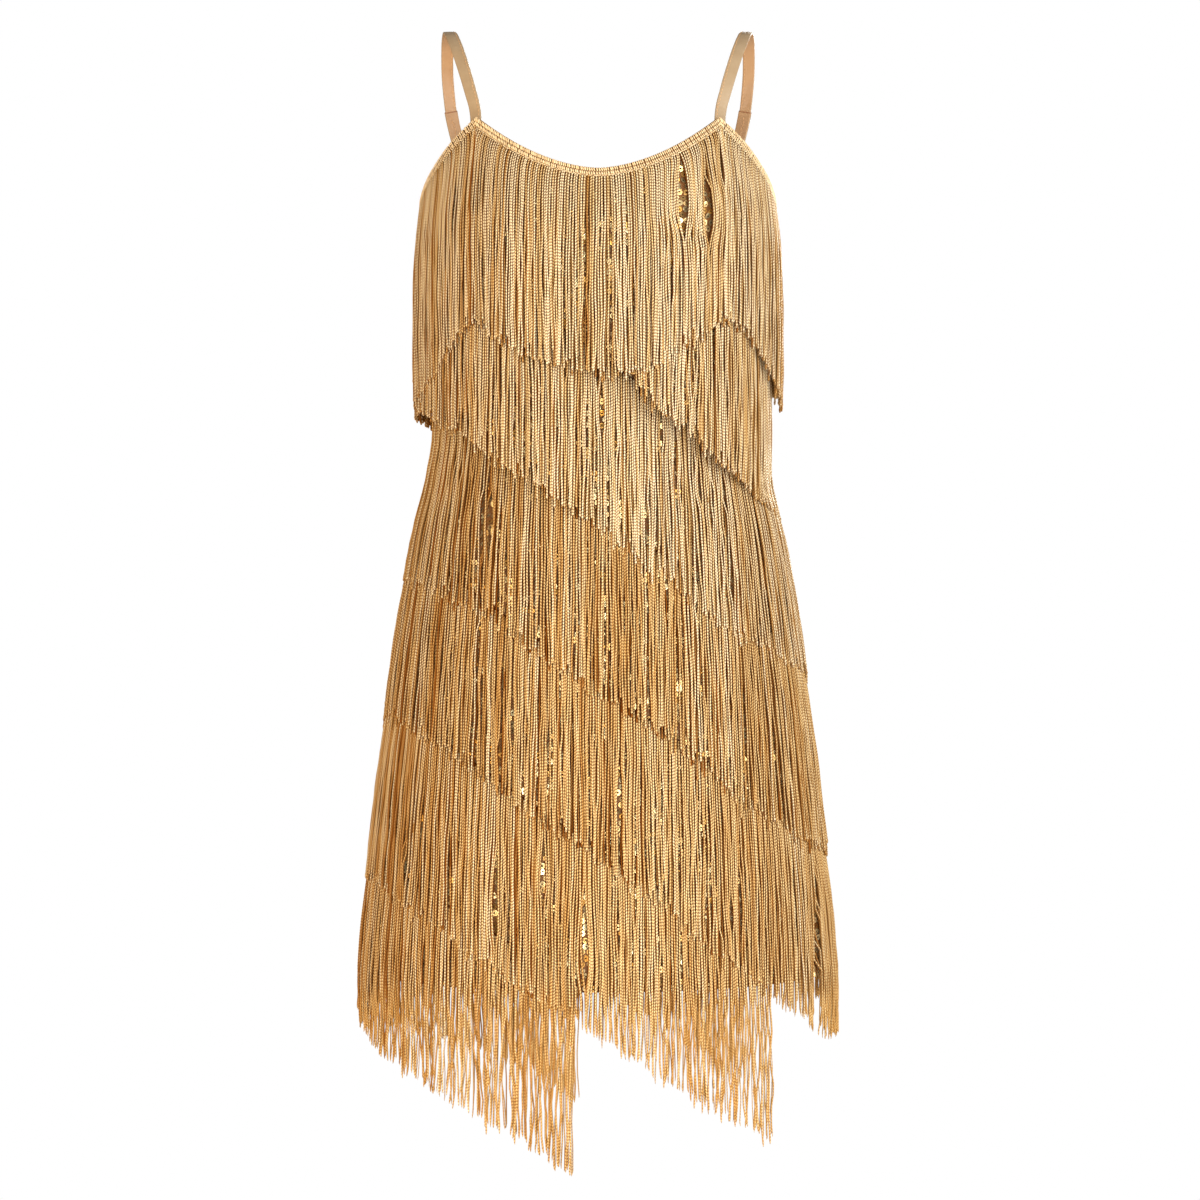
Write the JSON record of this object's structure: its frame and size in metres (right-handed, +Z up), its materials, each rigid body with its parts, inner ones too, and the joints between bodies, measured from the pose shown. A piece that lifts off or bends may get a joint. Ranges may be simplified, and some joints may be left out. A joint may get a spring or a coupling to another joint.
{
  "type": "latin dance dress",
  "caption": "Sleeveless shift dress on thin shoulder straps, covered in slanting tiers of hanging cord fringe over sequin cloth, for latin dance.",
  "frame": {"origin": "midway between the tops of the two straps, where the wearer's shoulders carry the dress", "axes": "+Z up, -Y the front of the dress, +X the wearer's left"},
  "size_m": [0.413, 0.3032, 0.9408],
  "materials": {
    "sequin_cloth": "knit cloth covered with small gold sequins, plain gold lining inside",
    "fringe": "soft lustrous chainette cords on a narrow knitted header",
    "braid": "gold zigzag braid with a slight metal glint",
    "strap_satin": "satin over a folded strap, stitched along its edges"
  },
  "bodies": {
    "root": {"back_panel": "sequin_cloth", "bust_fringe_back": "fringe", "bust_fringe_front": "fringe", "edge_braid_back": "braid", "edge_braid_front": "braid", "front_panel": "sequin_cloth", "strap_left": "strap_satin", "strap_right": "strap_satin", "strap_tab_left": "strap_satin", "strap_tab_right": "strap_satin", "tier_a_back": "fringe", "tier_a_front": "fringe", "tier_b_back": "fringe", "tier_b_front": "fringe", "tier_c_back": "fringe", "tier_c_front": "fringe", "tier_d_back": "fringe", "tier_d_front": "fringe", "tier_e_back": "fringe", "tier_e_front": "fringe", "tier_f_back": "fringe", "tier_f_front": "fringe"}
  },
  "joints": []
}
